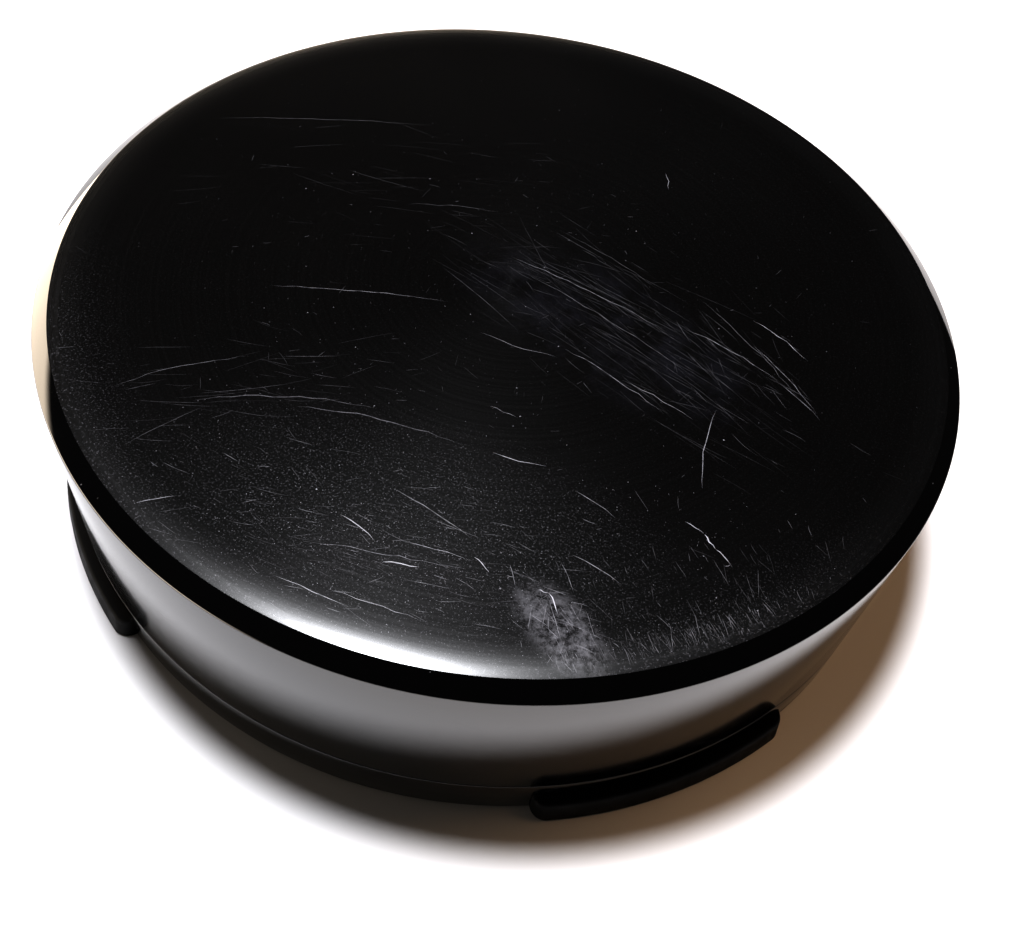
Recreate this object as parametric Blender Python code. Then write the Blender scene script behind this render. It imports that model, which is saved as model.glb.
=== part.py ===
"""Hand bearing compass: a slim round case that lies face down, with the back of the case up.

The resting plane is z = 0 and the axis of the card, the bezel and the case is the Z axis.
The bearing is read along +Y. Run it with: blender --background --python part.py
"""

import math

import bmesh
import bpy
from mathutils import Matrix, Vector

MM = 0.001

# Driving dimensions, in millimetres
CASE_DIAMETER = 75.0      # over the foot of the chamfer
CASE_HEIGHT = 19.4
FLAT_DIAMETER = 72.34     # the flat back, inside the chamfer
CHAMFER_FOOT_Z = 18.22
FOOT_DIAMETER = 73.18     # the wall's taper reaches this at the resting plane
BEZEL_HEIGHT = 3.9
LOBE_COUNT = 4
FIRST_LOBE = 45.0         # degrees from +X to the middle of the first lobe
LOBE_ANGLE = 34.0         # degrees of the circle that one lobe covers
LOBE_HEIGHT = 2.1
LOBE_FOOT_RADIUS = 37.9
LOBE_TOP_RADIUS = 37.6
GAP = 0.3                 # between faces that touch on the real object

SHELL_BORE = 35.0
SHELL_BACK = 1.8
NECK_RADIUS = 34.2
FRAME_RADIUS = 34.7
FRAME_BORE = 32.0
NECK_END_Z = 1.1
GROOVE_Z = (1.7, 2.8)     # the retaining ring's groove, in the neck and in the bezel
SEAL_GROOVE_Z = (6.8, 8.3)
SEAL_GROOVE_DEPTH = 1.2
BOWL_SEAT_RADIUS = 30.0
BOWL_SEAT_Z = 11.0
FRAME_BACK_Z = 12.6
LEDGE_Z = 0.35            # the sunk ledge round the window, for the bezel's scale
LEDGE_RADIUS = 35.0
LOBE_END_LENGTH = 1.2
INDEX_CENTRE = (0.0, 33.3)

STACK_RADIUS = 31.6       # window, gaskets and bowl flange
WINDOW_Z = (1.3, 4.3, 6.8)
WINDOW_BOSS_RADIUS = 28.6
BOWL_FLANGE_Z = (8.2, 9.6)
BOWL_FLOOR_Z = (14.2, 15.2)
BOWL_RADII = (28.3, 29.5)

CARD_RADIUS = 26.0
CARD_Z = (8.2, 8.6)
FLOAT_Z = (8.9, 11.4)
HUB_RADIUS = 2.9
PIN_TIP_Z = 9.8

PORT_CENTRE = (11.0, 0.0)  # expansion port in the bowl's floor
PORT_RADIUS = 5.0
PORT_SCREW_CIRCLE = 6.1
PORT_SHEET_RADIUS = 7.2
PORT_SCREW_HOLE = 0.8     # radius
FILLER_CENTRE = (-12.0, 0.0)

FINE = 96                 # segments round the visible case
PLAIN = 48
SMALL = 20


def clear_scene():
    for old in list(bpy.data.objects):
        bpy.data.objects.remove(old, do_unlink=True)


def material(name, colour, roughness, metallic=0.0, alpha=1.0):
    made = bpy.data.materials.new(name)
    made.use_nodes = True
    shader = made.node_tree.nodes["Principled BSDF"]
    shader.inputs["Base Color"].default_value = (*colour, 1.0)
    shader.inputs["Roughness"].default_value = roughness
    shader.inputs["Metallic"].default_value = metallic
    shader.inputs["Alpha"].default_value = alpha
    return made


def add_object(name, bm, finish, parent=None):
    bmesh.ops.recalc_face_normals(bm, faces=bm.faces)
    mesh = bpy.data.meshes.new(name)
    bm.to_mesh(mesh)
    bm.free()
    mesh.shade_smooth()
    mesh.set_sharp_from_angle(angle=math.radians(30))
    made = bpy.data.objects.new(name, mesh)
    bpy.context.scene.collection.objects.link(made)
    if finish:
        mesh.materials.append(finish)
    if parent:
        made.parent = parent
        made.matrix_parent_inverse = Matrix.Translation(-parent.location)
    return made


def add_turned(bm, section, segments, centre=(0.0, 0.0), sweep=360.0, start=0.0):
    """Turns a closed section of (radius, height) points in millimetres about a vertical axis."""
    whole = sweep >= 360.0
    steps = segments if whole else segments + 1
    rings = []
    for radius, height in section:
        z = height * MM
        if radius == 0.0:
            axis_point = bm.verts.new((centre[0] * MM, centre[1] * MM, z))
            rings.append([axis_point] * steps)
            continue
        ring = []
        for i in range(steps):
            a = math.radians(start + sweep * i / segments)
            x = centre[0] + radius * math.cos(a)
            y = centre[1] + radius * math.sin(a)
            ring.append(bm.verts.new((x * MM, y * MM, z)))
        rings.append(ring)
    for low, high in zip(rings, rings[1:] + rings[:1]):
        for i in range(segments):
            j = (i + 1) % steps
            corners = []
            for corner in (low[i], low[j], high[j], high[i]):
                if corner not in corners:
                    corners.append(corner)
            if len(corners) >= 3:
                bm.faces.new(corners)
    if not whole:
        bm.faces.new([ring[0] for ring in rings])
        bm.faces.new([ring[-1] for ring in rings])


def turned(name, section, finish, segments=PLAIN, centre=(0.0, 0.0), parent=None):
    bm = bmesh.new()
    add_turned(bm, section, segments, centre)
    return add_object(name, bm, finish, parent)


def ring_section(inner, outer, low, high):
    return [(inner, low), (outer, low), (outer, high), (inner, high)]


def disc_section(radius, low, high):
    return [(0.0, low), (radius, low), (radius, high), (0.0, high)]


def add_box(bm, centre, size, angle=0.0):
    """Adds a box, in millimetres, turned about the Z axis by an angle in degrees."""
    place = Matrix.Rotation(math.radians(angle), 4, "Z") @ Matrix.Translation(Vector(centre) * MM)
    scale = Matrix.Diagonal((size[0] * MM, size[1] * MM, size[2] * MM, 1.0))
    bmesh.ops.create_cube(bm, size=1.0, matrix=place @ scale)


def cut(target, cutter):
    """Cuts one hidden guide out of a piece."""
    cutter.hide_render = True
    cutter.display_type = "WIRE"
    boolean = target.modifiers.new(cutter.name, "BOOLEAN")
    boolean.operation = "DIFFERENCE"
    boolean.solver = "EXACT"
    boolean.object = cutter


def hole_cutter(name, centres, radius, low, high):
    bm = bmesh.new()
    for centre in centres:
        add_turned(bm, disc_section(radius, low, high), SMALL, centre)
    return add_object(name, bm, None)


def port_screw_centres():
    places = []
    for i in range(4):
        a = math.radians(45 + 90 * i)
        x = PORT_CENTRE[0] + PORT_SCREW_CIRCLE * math.cos(a)
        y = PORT_CENTRE[1] + PORT_SCREW_CIRCLE * math.sin(a)
        places.append((x, y))
    return places


def wall_radius(z):
    """Radius of the tapered wall at a height in millimetres."""
    foot, top = FOOT_DIAMETER / 2, CASE_DIAMETER / 2
    return foot + (top - foot) * z / CHAMFER_FOOT_Z


# Case


def case_shell(finish):
    """The glossy back and wall, one cup open at the face side."""
    mouth = BEZEL_HEIGHT + GAP
    ceiling = CASE_HEIGHT - SHELL_BACK
    section = [
        (0.0, CASE_HEIGHT),
        (FLAT_DIAMETER / 2, CASE_HEIGHT),
        (CASE_DIAMETER / 2 - 0.09, CHAMFER_FOOT_Z + 0.09),
        (CASE_DIAMETER / 2, CHAMFER_FOOT_Z - 0.12),
        (wall_radius(mouth + 0.1), mouth + 0.1),
        (wall_radius(mouth) - 0.1, mouth),
        (SHELL_BORE, mouth),
        (SHELL_BORE, ceiling - 0.7),
        (SHELL_BORE - 0.7, ceiling),
        (0.0, ceiling),
    ]
    return turned("case_shell", section, finish, FINE)


def case_frame(finish):
    """The inner frame: a neck for the bezel, a bore for the bowl and a shoulder above it."""
    section = [
        (FRAME_BORE, NECK_END_Z),
        (NECK_RADIUS - 0.3, NECK_END_Z),
        (NECK_RADIUS, NECK_END_Z + 0.3),
        (NECK_RADIUS, GROOVE_Z[0]),
        (NECK_RADIUS - 0.8, GROOVE_Z[0]),
        (NECK_RADIUS - 0.8, GROOVE_Z[1]),
        (NECK_RADIUS, GROOVE_Z[1]),
        (NECK_RADIUS, BEZEL_HEIGHT + GAP),
        (FRAME_RADIUS, BEZEL_HEIGHT + GAP),
        (FRAME_RADIUS, SEAL_GROOVE_Z[0]),
        (FRAME_RADIUS - SEAL_GROOVE_DEPTH, SEAL_GROOVE_Z[0]),
        (FRAME_RADIUS - SEAL_GROOVE_DEPTH, SEAL_GROOVE_Z[1]),
        (FRAME_RADIUS, SEAL_GROOVE_Z[1]),
        (FRAME_RADIUS, FRAME_BACK_Z),
        (BOWL_SEAT_RADIUS, FRAME_BACK_Z),
        (BOWL_SEAT_RADIUS, BOWL_SEAT_Z),
        (FRAME_BORE, BOWL_SEAT_Z),
    ]
    return turned("case_frame", section, finish)


def case_o_ring(finish):
    """The cord ring in the frame's outer groove."""
    middle, half = 34.25, 0.45
    height = (SEAL_GROOVE_Z[0] + SEAL_GROOVE_Z[1]) / 2
    section = []
    for i in range(8):
        a = math.radians(45 * i)
        section.append((middle + half * math.cos(a), height + half * math.sin(a)))
    return turned("case_o_ring", section, finish)


def back_cushion(finish):
    low = BOWL_FLOOR_Z[1] + GAP
    high = CASE_HEIGHT - SHELL_BACK - GAP
    return turned("back_cushion", ring_section(19.5, 27.0, low, high), finish)


# Bezel


def lobe_share(angle):
    """0 between the lobes, 1 along a lobe, with a quarter-round at each of its ends."""
    pitch = 360.0 / LOBE_COUNT
    from_middle = min(angle % pitch, -angle % pitch)
    into_lobe = math.radians(LOBE_ANGLE / 2 - from_middle) * LOBE_FOOT_RADIUS
    if into_lobe <= 0.0:
        return 0.0
    if into_lobe >= LOBE_END_LENGTH:
        return 1.0
    return math.sqrt(1.0 - (1.0 - into_lobe / LOBE_END_LENGTH) ** 2)


def bezel_angles():
    """Angles of the cross-sections: close together at the lobe ends, wide apart elsewhere."""
    pitch = 360.0 / LOBE_COUNT
    half = LOBE_ANGLE / 2
    mm_angle = math.degrees(1.0 / LOBE_FOOT_RADIUS)
    ends = [half - step * mm_angle for step in (0.0, 0.05, 0.22, 0.6, LOBE_END_LENGTH)]
    lobe_middle = [half * share for share in (0.6, 0.3)]
    between = [half + (pitch / 2 - half) * share for share in (0.25, 0.5, 0.75)]
    side = ends + lobe_middle + between
    offsets = sorted([0.0, pitch / 2] + side + [-a for a in side])
    return [pitch * k + a for k in range(LOBE_COUNT) for a in offsets]


def bezel_section(share):
    """The bezel's cross-section where a low lobe stands out from it by a share of its depth."""

    def lobed(z):
        lobe = LOBE_FOOT_RADIUS + (LOBE_TOP_RADIUS - LOBE_FOOT_RADIUS) * z / LOBE_HEIGHT
        return wall_radius(z) + share * (lobe - wall_radius(z))

    top = BEZEL_HEIGHT
    return [
        (lobed(0.0) - 0.2, 0.0),
        (lobed(0.2), 0.2),
        (lobed(LOBE_HEIGHT - 0.35), LOBE_HEIGHT - 0.35),
        (lobed(LOBE_HEIGHT) - 0.3 * share, LOBE_HEIGHT),
        (wall_radius(LOBE_HEIGHT + 0.15), LOBE_HEIGHT + 0.15),
        (wall_radius(top - 0.1), top - 0.1),
        (wall_radius(top) - 0.1, top),
        (NECK_RADIUS + GAP, top),
        (NECK_RADIUS + GAP, GROOVE_Z[1]),
        (NECK_RADIUS + 1.1, GROOVE_Z[1]),
        (NECK_RADIUS + 1.1, GROOVE_Z[0]),
        (NECK_RADIUS + GAP, GROOVE_Z[0]),
        (NECK_RADIUS + GAP, NECK_END_Z - GAP),
        (STACK_RADIUS, NECK_END_Z - GAP),
        (STACK_RADIUS, LEDGE_Z),
        (LEDGE_RADIUS, LEDGE_Z),
        (LEDGE_RADIUS + 0.2, 0.0),
    ]


def bezel_ring(finish, parent):
    """The turning ring at the foot, with finger lobes, a sunk scale ledge and an index hole."""
    bm = bmesh.new()
    sections = []
    for angle in bezel_angles():
        a = math.radians(angle + FIRST_LOBE)
        ring = []
        for radius, height in bezel_section(lobe_share(angle)):
            place = (radius * math.cos(a) * MM, radius * math.sin(a) * MM, height * MM)
            ring.append(bm.verts.new(place))
        sections.append(ring)
    for here, after in zip(sections, sections[1:] + sections[:1]):
        for i, corner in enumerate(here):
            j = (i + 1) % len(here)
            bm.faces.new((corner, after[i], after[j], here[j]))
    made = add_object("bezel_ring", bm, finish, parent)
    cut(made, hole_cutter("index_hole", [INDEX_CENTRE], 1.1, -0.5, 1.0))
    return made


def bezel_index(finish, parent):
    return turned("bezel_index", disc_section(0.8, 0.4, 0.75), finish, SMALL, INDEX_CENTRE, parent)


def bezel_retaining_ring(finish):
    """A split flat wire ring that bridges the neck's groove and the bezel's."""
    low, high = GROOVE_Z[0] + GAP, GROOVE_Z[1] - GAP
    section = ring_section(NECK_RADIUS - 0.5, NECK_RADIUS + 0.8, low, high)
    bm = bmesh.new()
    add_turned(bm, section, PLAIN, sweep=346.0, start=97.0)
    return add_object("bezel_retaining_ring", bm, finish)


# Window


def clamp_ring(finish):
    """The ring screwed into the frame's bore, with four notches for a pin spanner."""
    made = turned("clamp_ring", ring_section(29.0, STACK_RADIUS, 1.3, 3.3), finish)
    bm = bmesh.new()
    for i in range(4):
        add_box(bm, (30.3, 0.0, 1.5), (5.0, 2.2, 1.6), 45 + 90 * i)
    cut(made, add_object("spanner_notches", bm, None))
    return made


def window_washer(finish):
    return turned("window_washer", ring_section(29.1, STACK_RADIUS, 3.6, 4.0), finish)


def front_window(finish):
    """The clear stepped window, whose middle stands out through the clamp ring."""
    face, step, inside = WINDOW_Z
    section = [
        (0.0, face),
        (WINDOW_BOSS_RADIUS - 0.4, face),
        (WINDOW_BOSS_RADIUS, face + 0.4),
        (WINDOW_BOSS_RADIUS, step),
        (STACK_RADIUS, step),
        (STACK_RADIUS, inside),
        (0.0, inside),
    ]
    return turned("front_window", section, finish)


def window_gasket(finish):
    low = WINDOW_Z[2] + GAP
    high = BOWL_FLANGE_Z[0] - GAP
    return turned("window_gasket", ring_section(28.9, STACK_RADIUS, low, high), finish)


# Bowl


def bowl(finish):
    """The liquid-filled cup, its flange towards the window and its floor towards the back."""
    inner, outer = BOWL_RADII
    floor, back = BOWL_FLOOR_Z
    section = [
        (inner, BOWL_FLANGE_Z[0]),
        (STACK_RADIUS, BOWL_FLANGE_Z[0]),
        (STACK_RADIUS, BOWL_FLANGE_Z[1]),
        (outer, BOWL_FLANGE_Z[1]),
        (outer, back - 0.6),
        (outer - 0.6, back),
        (0.0, back),
        (0.0, floor),
        (inner - 0.4, floor),
        (inner, floor - 0.4),
    ]
    made = turned("bowl", section, finish)
    cut(made, hole_cutter("expansion_port", [PORT_CENTRE], PORT_RADIUS, 13.0, 16.0))
    cut(made, hole_cutter("port_screw_holes", port_screw_centres(), PORT_SCREW_HOLE, 13.0, 16.0))
    cut(made, hole_cutter("filler_hole", [FILLER_CENTRE], 1.5, 13.0, 16.0))
    return made


def bowl_seat_gasket(finish):
    low = BOWL_FLANGE_Z[1] + GAP
    high = BOWL_SEAT_Z - GAP
    section = ring_section(BOWL_SEAT_RADIUS, STACK_RADIUS, low, high)
    return turned("bowl_seat_gasket", section, finish)


def diaphragm(finish):
    """The thin sheet with one round corrugation that covers the expansion port."""
    section = [
        (0.0, 15.5),
        (1.6, 15.5),
        (2.6, 16.1),
        (3.6, 16.1),
        (4.6, 15.5),
        (PORT_SHEET_RADIUS, 15.5),
        (PORT_SHEET_RADIUS, 15.8),
        (4.7, 15.8),
        (3.7, 16.4),
        (2.5, 16.4),
        (1.5, 15.8),
        (0.0, 15.8),
    ]
    made = turned("diaphragm", section, finish, 32, PORT_CENTRE)
    cut(made, hole_cutter("diaphragm_holes", port_screw_centres(), PORT_SCREW_HOLE, 15.0, 16.0))
    return made


def diaphragm_clamp_ring(finish):
    section = ring_section(PORT_RADIUS, PORT_SHEET_RADIUS, 16.1, 16.6)
    made = turned("diaphragm_clamp_ring", section, finish, 32, PORT_CENTRE)
    cutter = hole_cutter("clamp_holes", port_screw_centres(), PORT_SCREW_HOLE, 15.9, 17.0)
    cut(made, cutter)
    return made


def diaphragm_screws(finish):
    """Four small pan-head screws."""
    tip, head_low, head_high = 14.5, 16.9, 17.3
    section = [
        (0.0, tip),
        (0.5, tip),
        (0.5, head_low),
        (1.0, head_low),
        (1.0, head_high),
        (0.0, head_high),
    ]
    for i, centre in enumerate(port_screw_centres()):
        turned(f"diaphragm_screw_{i + 1}", section, finish, 12, centre)


def filler_plug(finish):
    """The slotted screw that closes the filling hole."""
    section = [(0.0, 14.5), (1.2, 14.5), (1.2, 16.3), (2.4, 16.3), (2.4, 17.2), (0.0, 17.2)]
    made = turned("filler_plug", section, finish, SMALL, FILLER_CENTRE)
    bm = bmesh.new()
    add_box(bm, (FILLER_CENTRE[0], FILLER_CENTRE[1], 17.2), (6.0, 0.6, 1.0))
    cut(made, add_object("plug_slot", bm, None))
    return made


def filler_washer(finish):
    section = ring_section(1.5, 2.6, 15.5, 16.0)
    return turned("filler_washer", section, finish, SMALL, FILLER_CENTRE)


def glow_ring(finish):
    return turned("glow_ring", ring_section(19.0, CARD_RADIUS, 13.6, 13.9), finish)


def lubber_post(finish):
    """The upright pin beside the card's edge, on the sighting side."""
    section = [(0.0, 7.1), (0.35, 7.1), (0.5, 7.3), (0.5, 13.9), (0.0, 13.9)]
    return turned("lubber_post", section, finish, SMALL, (0.0, 27.1))


def pivot_post(finish):
    """The flanged post on the bowl's floor, bored for the pin."""
    section = [
        (0.0, 12.9),
        (0.75, 12.9),
        (0.75, 12.0),
        (1.9, 12.0),
        (1.9, 13.0),
        (3.4, 13.0),
        (3.4, 13.9),
        (0.0, 13.9),
    ]
    return turned("pivot_post", section, finish, SMALL)


def pivot_pin(finish):
    section = [(0.0, PIN_TIP_Z), (0.42, PIN_TIP_Z + 1.0), (0.42, 12.6), (0.0, 12.6)]
    return turned("pivot_pin", section, finish, SMALL)


# Card


def compass_card(finish, parent):
    section = ring_section(HUB_RADIUS + GAP, CARD_RADIUS, *CARD_Z)
    return turned("compass_card", section, finish, PLAIN, parent=parent)


def card_float(finish, parent):
    low, high = FLOAT_Z
    section = [
        (HUB_RADIUS + GAP, low),
        (12.4, low),
        (13.0, low + 0.6),
        (13.0, high - 1.0),
        (12.0, high),
        (HUB_RADIUS + GAP, high),
    ]
    return turned("card_float", section, finish, PLAIN, parent=parent)


def card_hub(finish, parent):
    """The brass hub through the card and the float, bored from behind for the jewel."""
    section = [
        (0.0, 7.9),
        (2.4, 7.9),
        (HUB_RADIUS, 8.3),
        (HUB_RADIUS, 11.7),
        (1.2, 11.7),
        (1.2, 8.6),
        (0.0, 8.6),
    ]
    return turned("card_hub", section, finish, SMALL, parent=parent)


def pivot_jewel(finish, parent):
    section = [(0.0, 8.9), (0.9, 8.9), (0.9, 10.1), (0.55, 10.1), (0.0, PIN_TIP_Z - GAP)]
    return turned("pivot_jewel", section, finish, SMALL, parent=parent)


def card_magnets(finish, parent):
    """Two bars along the card's north line, one each side of the pivot."""
    low, high = FLOAT_Z[1] + GAP, 13.2
    for side, word in ((-1, "left"), (1, "right")):
        bm = bmesh.new()
        add_box(bm, (side * 6.2, 0.0, (low + high) / 2), (2.4, 18.0, high - low))
        add_object(f"card_magnet_{word}", bm, finish, parent)


def axis_empty(name, height):
    """The parent of a moving body, on the axis at a height in millimetres."""
    empty = bpy.data.objects.new(name, None)
    bpy.context.scene.collection.objects.link(empty)
    empty.location = (0.0, 0.0, height * MM)
    empty.empty_display_size = 5 * MM
    return empty


def main():
    clear_scene()
    black_gloss = material("black gloss", (0.006, 0.006, 0.007), 0.12)
    black_matt = material("black matt", (0.012, 0.012, 0.013), 0.6)
    dark_alloy = material("dark alloy", (0.05, 0.05, 0.055), 0.4, 1.0)
    rubber = material("rubber", (0.02, 0.02, 0.02), 0.8)
    foam = material("foam", (0.08, 0.08, 0.085), 0.95)
    clear = material("clear", (0.9, 0.93, 0.93), 0.03, 0.0, 0.3)
    white = material("white moulding", (0.75, 0.75, 0.72), 0.4)
    luminous = material("luminous", (0.72, 0.85, 0.55), 0.5)
    card_face = material("card face", (0.02, 0.02, 0.022), 0.5)
    lubber_red = material("lubber red", (0.6, 0.05, 0.03), 0.4)
    brass = material("brass", (0.62, 0.45, 0.18), 0.3, 1.0)
    steel = material("steel", (0.5, 0.5, 0.5), 0.25, 1.0)
    sapphire = material("jewel", (0.5, 0.06, 0.12), 0.05)
    magnet_coat = material("magnet coat", (0.35, 0.35, 0.36), 0.3, 1.0)

    bezel_axis = axis_empty("bezel_axis", BEZEL_HEIGHT / 2)
    card_axis = axis_empty("card_axis", PIN_TIP_Z)

    case_shell(black_gloss)
    case_frame(dark_alloy)
    case_o_ring(rubber)
    back_cushion(foam)
    bezel_ring(black_matt, bezel_axis)
    bezel_index(luminous, bezel_axis)
    bezel_retaining_ring(steel)
    clamp_ring(dark_alloy)
    window_washer(rubber)
    front_window(clear)
    window_gasket(rubber)
    bowl(white)
    bowl_seat_gasket(rubber)
    diaphragm(brass)
    diaphragm_clamp_ring(brass)
    diaphragm_screws(steel)
    filler_plug(brass)
    filler_washer(rubber)
    glow_ring(luminous)
    lubber_post(lubber_red)
    pivot_post(brass)
    pivot_pin(steel)
    compass_card(card_face, card_axis)
    card_float(white, card_axis)
    card_hub(brass, card_axis)
    pivot_jewel(sapphire, card_axis)
    card_magnets(magnet_coat, card_axis)


main()
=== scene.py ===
import math
import random

import bmesh
import bpy
from mathutils import Matrix, Vector
from mathutils.geometry import delaunay_2d_cdt


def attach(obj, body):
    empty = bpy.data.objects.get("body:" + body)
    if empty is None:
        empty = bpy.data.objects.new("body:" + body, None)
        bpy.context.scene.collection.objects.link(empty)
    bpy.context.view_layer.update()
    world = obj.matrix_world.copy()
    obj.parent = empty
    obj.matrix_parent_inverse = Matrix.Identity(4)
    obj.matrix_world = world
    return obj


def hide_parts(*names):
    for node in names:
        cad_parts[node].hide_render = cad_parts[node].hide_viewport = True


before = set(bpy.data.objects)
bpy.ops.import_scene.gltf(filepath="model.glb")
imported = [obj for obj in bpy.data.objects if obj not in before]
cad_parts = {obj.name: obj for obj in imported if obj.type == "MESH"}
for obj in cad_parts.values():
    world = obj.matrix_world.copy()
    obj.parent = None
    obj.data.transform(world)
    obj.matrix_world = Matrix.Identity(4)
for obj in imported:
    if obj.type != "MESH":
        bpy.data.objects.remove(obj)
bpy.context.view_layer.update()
print("frame loaded")

mm = 0.001


# node helpers


def put(tree, kind, **settings):
    node = tree.nodes.new(kind)
    for key, value in settings.items():
        setattr(node, key, value)
    return node


def feed(tree, node, **values):
    # names of sockets are written with _ for a space
    for key, value in values.items():
        socket = node.inputs[key.replace("_", " ")]
        if isinstance(value, bpy.types.NodeSocket):
            tree.links.new(value, socket)
        else:
            socket.default_value = value
    return node


def calc(tree, operation, *values, clamp=False):
    node = put(tree, "ShaderNodeMath", operation=operation, use_clamp=clamp)
    for i, value in enumerate(values):
        if isinstance(value, bpy.types.NodeSocket):
            tree.links.new(value, node.inputs[i])
        else:
            node.inputs[i].default_value = value
    return node.outputs[0]


def plus(tree, a, b, clamp=False):
    return calc(tree, "ADD", a, b, clamp=clamp)


def minus(tree, a, b):
    return calc(tree, "SUBTRACT", a, b)


def times(tree, a, b):
    return calc(tree, "MULTIPLY", a, b)


def ramp(tree, value, low, high, toLow=0.0, toHigh=1.0, smooth=True):
    node = put(tree, "ShaderNodeMapRange", interpolation_type="SMOOTHSTEP" if smooth else "LINEAR")
    feed(tree, node, Value=value, From_Min=low, From_Max=high, To_Min=toLow, To_Max=toHigh)
    return node.outputs[0]


def noise(tree, vector, scale, detail=2.0, roughness=0.5):
    node = put(tree, "ShaderNodeTexNoise")
    feed(tree, node, Vector=vector, Scale=scale, Detail=detail, Roughness=roughness)
    return node.outputs[0]


def noiseAlong(tree, value, scale, detail=2.0):
    node = put(tree, "ShaderNodeTexNoise", noise_dimensions="1D")
    feed(tree, node, W=value, Scale=scale, Detail=detail)
    return node.outputs[0]


def blendColour(tree, factor, a, b):
    node = put(tree, "ShaderNodeMix", data_type="RGBA")
    for socket, value in ((node.inputs[0], factor), (node.inputs[6], a), (node.inputs[7], b)):
        if isinstance(value, bpy.types.NodeSocket):
            tree.links.new(value, socket)
        elif isinstance(value, tuple):
            socket.default_value = (*value, 1.0)
        else:
            socket.default_value = value
    return node.outputs[2]


def combined(tree, masks, operation="MAXIMUM"):
    total = masks[0]
    for mask in masks[1:]:
        total = calc(tree, operation, total, mask)
    return total


def places(tree):
    # the place on the object in millimetres, with its distance from the axis and its height
    spot = put(tree, "ShaderNodeTexCoord").outputs["Object"]
    scaled = put(tree, "ShaderNodeVectorMath", operation="SCALE")
    tree.links.new(spot, scaled.inputs[0])
    scaled.inputs["Scale"].default_value = 1000.0
    split = put(tree, "ShaderNodeSeparateXYZ")
    tree.links.new(scaled.outputs[0], split.inputs[0])
    x, y, z = split.outputs
    radius = calc(tree, "SQRT", plus(tree, times(tree, x, x), times(tree, y, y)))
    return scaled.outputs[0], x, y, z, radius


def newFinish(name, colour, roughness, metallic=0.0, **values):
    finish = bpy.data.materials.new(name)
    finish.use_nodes = True
    tree = finish.node_tree
    shader = tree.nodes["Principled BSDF"]
    feed(tree, shader, Roughness=roughness, Metallic=metallic, **values)
    shader.inputs["Base Color"].default_value = (*colour, 1.0)
    return finish, tree, shader


def bump(tree, shader, height, strength, distance):
    node = put(tree, "ShaderNodeBump")
    feed(tree, node, Height=height, Strength=strength, Distance=distance * mm)
    tree.links.new(node.outputs[0], shader.inputs["Normal"])


# camera, floor and lights

viewpoint = {
    "target": (3.131, -2.875, 0.0),  # mm, on the floor near the case's axis
    "azimuth": 15.6,  # degrees to the right of the front
    "elevation": 51.55,
    "distance": 115.9,
    "roll": 9.09,
    "lens": 44.62,
}
studio = {
    "floorColour": (0.67, 0.66, 0.66),
    "background": (0.62, 0.61, 0.60),
    "roomGlow": 0.012,
    "sweepColour": (1.0, 0.86, 0.70),  # pale backdrop beyond the floor, seen only in reflections
    "sweepGlow": 7.0,
    "sweepTop": 0.17,  # sine of its height above the horizon
    "sweepSide": 175.0,  # direction of its middle in degrees
    "floorRadius": 102.0,
    "floorPlace": (-8.0, 22.0),
    "exposure": 0.3,
    "gamma": 0.78,
    "keyPower": 4.0,
    "keyColour": (0.95, 0.96, 1.0),
    "keySize": 0.095,
    "keyPlace": (-64.0, 25.0, 450.0),
    "fillPower": 0.85,
    "fillColour": (1.0, 0.64, 0.36),
    "fillSize": 0.30,
    "fillPlace": (250.0, 225.0, 450.0),
    "lampAim": (0.0, 0.0, 8.0),
}


def makeCamera():
    v = viewpoint
    azimuth, elevation, roll = (math.radians(v[k]) for k in ("azimuth", "elevation", "roll"))
    flat = math.cos(elevation)
    back = Vector((math.sin(azimuth) * flat, -math.cos(azimuth) * flat, math.sin(elevation)))
    level = Vector((math.cos(azimuth), math.sin(azimuth), 0.0))
    upright = back.cross(level)
    right = math.cos(roll) * level + math.sin(roll) * upright
    up = back.cross(right)
    camera = bpy.data.objects.new("camera", bpy.data.cameras.new("camera"))
    bpy.context.scene.collection.objects.link(camera)
    turn = Matrix((right, up, back)).transposed().to_4x4()
    camera.matrix_world = Matrix.Translation(Vector(v["target"]) * mm + back * v["distance"] * mm) @ turn
    camera.data.lens = v["lens"]
    camera.data.sensor_width = 36.0
    camera.data.clip_start = 0.002
    camera.data.clip_end = 20.0
    bpy.context.scene.camera = camera


def softLight(name, power, colour, size, place):
    data = bpy.data.lights.new(name, "AREA")
    data.energy = power
    data.color = colour
    data.shape = "DISK"
    data.size = size
    lamp = bpy.data.objects.new(name, data)
    bpy.context.scene.collection.objects.link(lamp)
    lamp.location = Vector(place) * mm
    lamp.rotation_mode = "QUATERNION"
    lamp.rotation_quaternion = (lamp.location - Vector(studio["lampAim"]) * mm).to_track_quat("Z", "Y")
    return lamp


def makeStudio():
    s = studio
    floor = bpy.data.objects.new("floor", bpy.data.meshes.new("floor"))
    bm = bmesh.new()
    middle = Matrix.Translation((*(c * mm for c in s["floorPlace"]), 0.0))
    bmesh.ops.create_circle(bm, cap_ends=True, segments=180, radius=s["floorRadius"] * mm, matrix=middle)
    bm.to_mesh(floor.data)
    bm.free()
    bpy.context.scene.collection.objects.link(floor)
    floor.data.materials.append(newFinish("paleFloor", s["floorColour"], 0.9, Specular_IOR_Level=0.1)[0])
    softLight("keyLight", s["keyPower"], s["keyColour"], s["keySize"], s["keyPlace"])
    fill = softLight("fillLight", s["fillPower"], s["fillColour"], s["fillSize"], s["fillPlace"])
    fill.visible_glossy = False  # it only lifts the shadows
    makeWorld()
    look = bpy.context.scene.view_settings
    look.view_transform = "Standard"
    look.exposure = s["exposure"]
    look.gamma = s["gamma"]


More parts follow.
